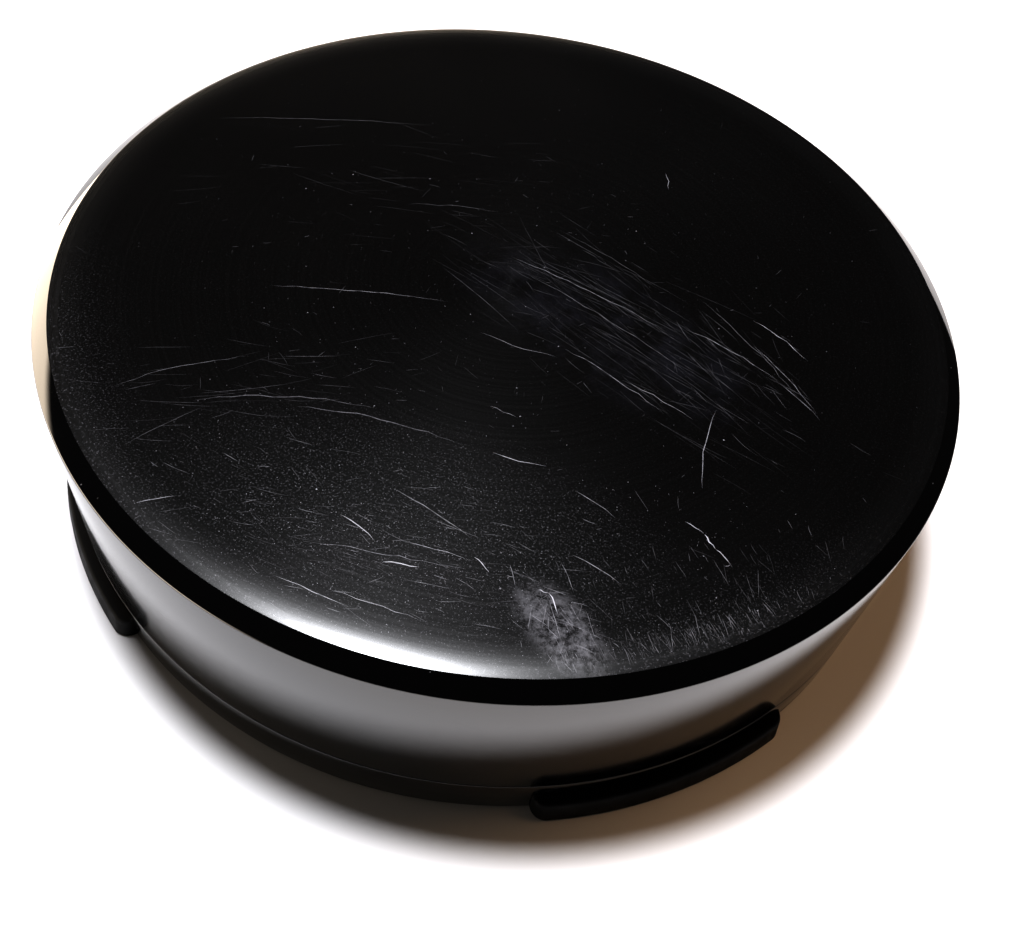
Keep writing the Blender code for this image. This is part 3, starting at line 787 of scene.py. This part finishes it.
def makeShell():
    s = shellShape
    top = s["height"]
    rollLength = s["flatRadius"] - s["rollStart"]

    def heightAt(radius):
        share = max(0.0, (radius - s["rollStart"]) / rollLength)
        return top - s["rollDrop"] * share ** s["rollPower"]

    inside = (s["rollStart"] + rollLength * 0.9, heightAt(s["rollStart"] + rollLength * 0.9))
    rim = (s["flatRadius"], heightAt(s["flatRadius"]))
    shoulder = (s["widest"], s["widestHeight"])
    foot = (wallRadius(s["mouth"]), s["mouth"])
    lip = (s["bore"], s["mouth"])
    ceiling = (s["bore"], top - s["back"])
    rimArc = rounded(inside, rim, shoulder, s["rimEdge"])
    shoulderArc = rounded(rim, shoulder, foot, s["shoulderEdge"], 6)
    footArc = rounded(shoulder, foot, lip, s["mouthEdge"])
    lipArc = rounded(foot, lip, ceiling, s["mouthEdge"])
    ceilingArc = rounded(lip, ceiling, (0.0, ceiling[1]), s["ceilingEdge"], 6)
    section = rimArc + shoulderArc + footArc + lipArc + ceilingArc + [(0.0, ceiling[1])]
    chamferEnd = len(rimArc) + 3
    wallEnd = len(rimArc) + len(shoulderArc) + 2

    def finishOf(k):
        if k < 1:
            return 0
        if k < chamferEnd:
            return 1
        return 2 if k < wallEnd else 3

    bm = bmesh.new()
    rollSteps = 10
    edge = rimArc[0][0]
    rings = [s["rollStart"] + (edge - s["rollStart"]) * i / rollSteps for i in range(rollSteps + 1)]
    addWornDisc(bm, rings, s["segments"], heightAt)
    addTurned(bm, section, s["segments"], finishOf=finishOf, closed=False)
    bmesh.ops.remove_doubles(bm, verts=bm.verts, dist=0.0008 * mm)
    piece = newPiece("polishedShell", bm, [turnedBack, polishedChamfer, glossyWall, insideMould])
    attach(piece, "case")
    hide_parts("case_shell")


makeShell()
print("case shell made")


# bezel

bezelShape = {
    "height": 3.96,
    "bore": 34.5,
    "groove": (1.7, 2.8, 35.3),
    "flange": (31.6, 0.8),
    "ledge": 0.35,
    "ledgeEdge": 34.9,
    "rimEdge": 35.15,
    "lobes": 4,
    "firstLobe": 45.0,
    "lobeAngle": 34.0,
    "lobeHeight": 2.1,
    "lobeFoot": 37.9,
    "lobeTop": 37.6,
    "lobeEdge": 0.35,
    "lobeStep": 0.15,  # rise of a lobe's top towards the wall
    "footEdge": 0.18,
    "topEdge": 0.03,
    "lobeEnd": 1.2,  # length of a lobe's rounded end
    "nickAt": -135.8,
    "nickDepth": 0.22,
}
scaleMarks = {
    "step": 5,
    "longStep": 10,
    "numberStep": 30,
    "outer": 34.6,
    "longTick": (33.1, 0.28),  # inner end and width
    "shortTick": (33.9, 0.18),
    "numberRadius": 33.35,
    "numberHeight": 1.75,
    "thickness": 0.03,
}
pipShape = {"place": (0.0, 33.3), "radius": 0.8, "low": 0.12, "high": 0.36}


def lobeShare(angle):
    b = bezelShape
    pitch = 360.0 / b["lobes"]
    local = (math.degrees(angle) - b["firstLobe"]) % pitch
    into = math.radians(b["lobeAngle"] / 2 - min(local, pitch - local)) * b["lobeFoot"]
    if into <= 0.0:
        return 0.0
    if into >= b["lobeEnd"]:
        return 1.0
    return math.sqrt(1.0 - (1.0 - into / b["lobeEnd"]) ** 2)


def bezelAngles():
    b = bezelShape
    pitch = 360.0 / b["lobes"]
    half = b["lobeAngle"] / 2
    endAngle = math.degrees(b["lobeEnd"] / b["lobeFoot"])
    offsets = {0.0}
    endSteps = 16
    for i in range(endSteps + 1):
        inward = endAngle * (1 - math.cos(math.pi / 2 * i / endSteps))
        offsets.update((half - inward, inward - half))
    offsets.update((half + 0.03, -half - 0.03))
    plainSteps = 60
    for i in range(plainSteps):
        a = -pitch / 2 + pitch * i / plainSteps
        if abs(abs(a) - half) > endAngle * 1.3 or abs(a) > half + 0.1:
            offsets.add(a)
    whole = []
    for k in range(b["lobes"]):
        whole += [math.radians(b["firstLobe"] + pitch * k + a) for a in sorted(offsets)]
    return whole


def bezelSection(angle):
    b = bezelShape
    share = lobeShare(angle)
    top = b["height"]
    fromNick = (math.degrees(angle) - b["nickAt"] + 180.0) % 360.0 - 180.0
    nick = b["nickDepth"] * math.exp(-((fromNick / 0.45) ** 2))

    lobeTopZ = b["lobeHeight"]

    def outer(z):
        lobe = b["lobeFoot"] + (b["lobeTop"] - b["lobeFoot"]) * z / lobeTopZ
        return wallRadius(z) + share * (lobe - wallRadius(z)) - nick

    low = (outer(0.0), 0.0)
    step = (wallRadius(lobeTopZ + b["lobeStep"]) - nick, lobeTopZ + b["lobeStep"])
    high = (wallRadius(top), top)
    inner = (b["bore"], top)
    section = [(b["rimEdge"], 0.0)]
    section += rounded((b["rimEdge"], 0.0), low, (outer(lobeTopZ), lobeTopZ), b["footEdge"])
    for i in range(6):
        a = math.pi / 2 * i / 5
        z = lobeTopZ - b["lobeEdge"] * (1 - math.sin(a))
        section.append((outer(z) - b["lobeEdge"] * share * (1 - math.cos(a)), z))
    section.append(step)
    section += rounded(step, high, inner, b["topEdge"])
    grooveLow, grooveHigh, grooveRadius = b["groove"]
    flangeRadius, flangeHeight = b["flange"]
    section += [
        inner,
        (b["bore"], grooveHigh),
        (grooveRadius, grooveHigh),
        (grooveRadius, grooveLow),
        (b["bore"], grooveLow),
        (b["bore"], flangeHeight),
        (flangeRadius, flangeHeight),
        (flangeRadius, b["ledge"] + 0.1),
        (flangeRadius + 0.1, b["ledge"]),
        (b["ledgeEdge"], b["ledge"]),
    ]
    return section


def makeBezel():
    bm = bmesh.new()
    addSwept(bm, bezelAngles(), bezelSection)
    # between and above the lobes the ring carries the case's polished wall on downward
    for face in bm.faces:
        spots = [(math.hypot(v.co.x, v.co.y) / mm, v.co.z / mm) for v in face.verts]
        polished = all(abs(r - wallRadius(z)) < 0.03 and z > 0.1 for r, z in spots)
        face.material_index = 1 if polished else 0
    piece = newPiece("lobedBezel", bm, [bezelMould, glossyWall], 32.0)
    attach(piece, "bezel")
    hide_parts("bezel_ring")


def makeIndexPip():
    # a domed luminous pip pressed into the ledge at the bezel's zero
    low, high, radius = pipShape["low"], pipShape["high"], pipShape["radius"]
    section = [(0.0, low), (radius * 0.5, low + 0.02), (radius * 0.85, low + 0.09), (radius, low + 0.2)]
    section += [(radius, high), (0.0, high)]
    bm = bmesh.new()
    addTurned(bm, section, 48, pipShape["place"])
    piece = newPiece("indexPip", bm, [luminousPaint])
    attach(piece, "bezel")
    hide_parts("bezel_index")


def letteringMesh(text, height):
    # flat text, centred on the origin, as a mesh that reads from below
    curve = bpy.data.curves.new("lettering", "FONT")
    curve.body = text
    curve.size = height * mm
    curve.align_x = "CENTER"
    curve.align_y = "CENTER"
    curve.resolution_u = 3
    holder = bpy.data.objects.new("lettering", curve)
    bpy.context.scene.collection.objects.link(holder)
    bpy.context.view_layer.update()
    mesh = bpy.data.meshes.new_from_object(holder.evaluated_get(bpy.context.evaluated_depsgraph_get()))
    bpy.data.objects.remove(holder, do_unlink=True)
    bpy.data.curves.remove(curve)
    return mesh


def addLettering(bm, text, height, bearing, radius, z, thickness):
    # the foot of each letter points to the axis, and bearings run clockwise seen from the face
    start = len(bm.verts)
    mesh = letteringMesh(text, height)
    bm.from_mesh(mesh)
    bpy.data.meshes.remove(mesh)
    bm.verts.ensure_lookup_table()
    new = bm.verts[start:]
    flip = Matrix.Scale(-1.0, 4, (1.0, 0.0, 0.0))
    place = Matrix.Rotation(math.radians(bearing), 4, "Z") @ Matrix.Translation((0.0, radius * mm, z * mm))
    bmesh.ops.transform(bm, matrix=place @ flip, verts=new)
    faces = list({f for v in new for f in v.link_faces})
    body = bmesh.ops.extrude_face_region(bm, geom=faces)
    raised = [g for g in body["geom"] if isinstance(g, bmesh.types.BMVert)]
    bmesh.ops.translate(bm, verts=raised, vec=(0.0, 0.0, -thickness * mm))


def addTick(bm, bearing, inner, outer, width, z, thickness):
    size = Matrix.Diagonal((width * mm, (outer - inner) * mm, thickness * mm, 1.0))
    place = Matrix.Translation((0.0, (inner + outer) / 2 * mm, (z - thickness / 2) * mm))
    bmesh.ops.create_cube(bm, size=1.0, matrix=Matrix.Rotation(math.radians(bearing), 4, "Z") @ place @ size)


def makeBezelScale():
    m = scaleMarks
    z = bezelShape["ledge"]
    bm = bmesh.new()
    for bearing in range(0, 360, m["numberStep"]):
        if bearing:
            addLettering(bm, str(bearing), m["numberHeight"], bearing, m["numberRadius"], z, m["thickness"])
    for bearing in range(0, 360, m["step"]):
        if bearing % m["numberStep"] == 0:
            continue
        inner, width = m["shortTick"] if bearing % m["longStep"] else m["longTick"]
        addTick(bm, bearing, inner, m["outer"], width, z, m["thickness"])
    piece = newPiece("bezelScale", bm, [whiteInk])
    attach(piece, "bezel")


makeBezel()
makeIndexPip()
makeBezelScale()
print("bezel made")


# window and its clamp ring

windowShape = {"face": 1.3, "boss": 28.6, "step": 4.3, "rim": 31.6, "inside": 6.8, "edge": 0.45}
clampShape = {
    "inner": 29.0,
    "outer": 31.6,
    "low": 1.3,
    "high": 3.3,
    "edge": 0.12,
    "notches": 4,
    "notchDepth": 1.0,
    "notchHalf": 1.1,  # half its width
}


def makeWindow():
    w = windowShape
    face, inside = w["face"], w["inside"]
    outerEdge = rounded((0.0, face), (w["boss"], face), (w["boss"], w["step"]), w["edge"], 5)
    section = [(0.0, face)] + outerEdge
    section += [(w["boss"], w["step"]), (w["rim"], w["step"]), (w["rim"], inside), (0.0, inside)]
    bm = bmesh.new()
    addTurned(bm, section, 240)
    piece = newPiece("steppedWindow", bm, [clearWindow])
    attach(piece, "case")
    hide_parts("front_window")


def makeClampRing():
    c = clampShape
    pitch = 2 * math.pi / c["notches"]
    notchAngle = c["notchHalf"] * 2 / (c["inner"] + c["outer"])
    segments = 240
    step = 2 * math.pi / segments

    def fromNotch(a):
        away = (a - pitch / 2) % pitch
        return min(away, pitch - away)

    angles = [i * step for i in range(segments)]
    angles = [a for a in angles if abs(fromNotch(a) - notchAngle) > step * 0.6]
    for k in range(c["notches"]):
        middle = (k + 0.5) * pitch
        for side in (-1, 1):
            angles += [middle + side * (notchAngle - 0.0004), middle + side * (notchAngle + 0.0004)]
    angles.sort()

    def sectionAt(a):
        low = c["low"] + (c["notchDepth"] if fromNotch(a) < notchAngle else 0.0)
        edge = c["edge"]
        return [
            (c["inner"] + edge, low),
            (c["outer"] - edge, low),
            (c["outer"], low + edge),
            (c["outer"], c["high"]),
            (c["inner"], c["high"]),
            (c["inner"], low + edge),
        ]

    bm = bmesh.new()
    addSwept(bm, angles, sectionAt)
    piece = newPiece("notchedRing", bm, [darkAlloy])
    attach(piece, "case")
    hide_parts("clamp_ring")


makeWindow()
makeClampRing()
print("window made")


# compass card

cardShape = {
    "radius": 26.0,
    "bore": 3.2,
    "face": 8.2,
    "back": 8.6,
    "tickOuter": 25.7,
    "numberRadius": 21.3,
    "numberHeight": 3.2,
    "letterRadius": 20.7,
    "letterHeight": 5.0,
    "line": (16.4, 16.6),  # the printed circle
    "arrow": (12.0, 1.5, 4.2),  # tip, half width and root
    "print": 0.04,  # thickness of the ink
}


def addNeedle(bm, z, thickness):
    # a plain arrow that marks the card's north, and its tail
    tip, wing, root = cardShape["arrow"]
    outline = [(0.0, tip), (wing, root), (-wing, root)]
    for sign in (1, -1):
        corners = [bm.verts.new((x * mm, sign * y * mm, z * mm)) for x, y in outline]
        face = bm.faces.new(corners)
        body = bmesh.ops.extrude_face_region(bm, geom=[face])
        raised = [g for g in body["geom"] if isinstance(g, bmesh.types.BMVert)]
        bmesh.ops.translate(bm, verts=raised, vec=(0.0, 0.0, -thickness * mm))


def makeCard():
    c = cardShape
    bm = bmesh.new()
    section = [(c["bore"], c["face"]), (c["radius"] - 0.1, c["face"]), (c["radius"], c["face"] + 0.1)]
    section += [(c["radius"], c["back"]), (c["bore"], c["back"])]
    addTurned(bm, section, 240)
    piece = newPiece("cardDisc", bm, [cardPaint])
    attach(piece, "card")
    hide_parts("compass_card")
    inkBm = bmesh.new()
    thickness = c["print"]
    for bearing in range(0, 360, 2):
        ten = bearing % 10 == 0
        inner = 23.3 if bearing % 30 == 0 else (24.0 if ten else 24.8)
        addTick(inkBm, bearing, inner, c["tickOuter"], 0.3 if ten else 0.16, c["face"], thickness)
    for bearing in range(0, 360, 30):
        if bearing % 90 == 0:
            text, kind = "NESW"[bearing // 90], "letter"
        else:
            text, kind = str(bearing), "number"
        tall, radius = c[kind + "Height"], c[kind + "Radius"]
        addLettering(inkBm, text, tall, bearing, radius, c["face"], thickness)
    inner, outer = c["line"]
    raised = c["face"] - thickness
    addTurned(inkBm, [(inner, raised), (outer, raised), (outer, c["face"]), (inner, c["face"])], 180)
    ink = newPiece("cardPrint", inkBm, [whiteInk])
    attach(ink, "card")
    needleBm = bmesh.new()
    addNeedle(needleBm, c["face"], thickness)
    needle = newPiece("cardArrow", needleBm, [redEnamel])
    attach(needle, "card")


makeCard()
print("card made")


# finishes of the CAD pieces that stay

nodeFinishes = {
    "case_frame": darkAlloy,
    "case_o_ring": sealRubber,
    "back_cushion": cushionFoam,
    "bezel_retaining_ring": springSteel,
    "window_washer": sealRubber,
    "window_gasket": sealRubber,
    "bowl": whiteMould,
    "bowl_seat_gasket": sealRubber,
    "diaphragm": turnedBrass,
    "diaphragm_clamp_ring": turnedBrass,
    "filler_plug": turnedBrass,
    "filler_washer": sealRubber,
    "glow_ring": luminousPaint,
    "lubber_post": redEnamel,
    "pivot_post": turnedBrass,
    "pivot_pin": springSteel,
    "card_float": whiteMould,
    "card_hub": turnedBrass,
    "pivot_jewel": rubyJewel,
    "card_magnet_left": magnetPlate,
    "card_magnet_right": magnetPlate,
}
for i in range(4):
    nodeFinishes[f"diaphragm_screw_{i + 1}"] = springSteel

for node, finish in nodeFinishes.items():
    mesh = bpy.data.objects[node].data
    for i in range(len(mesh.materials)):
        mesh.materials[i] = finish
print("kept pieces finished")
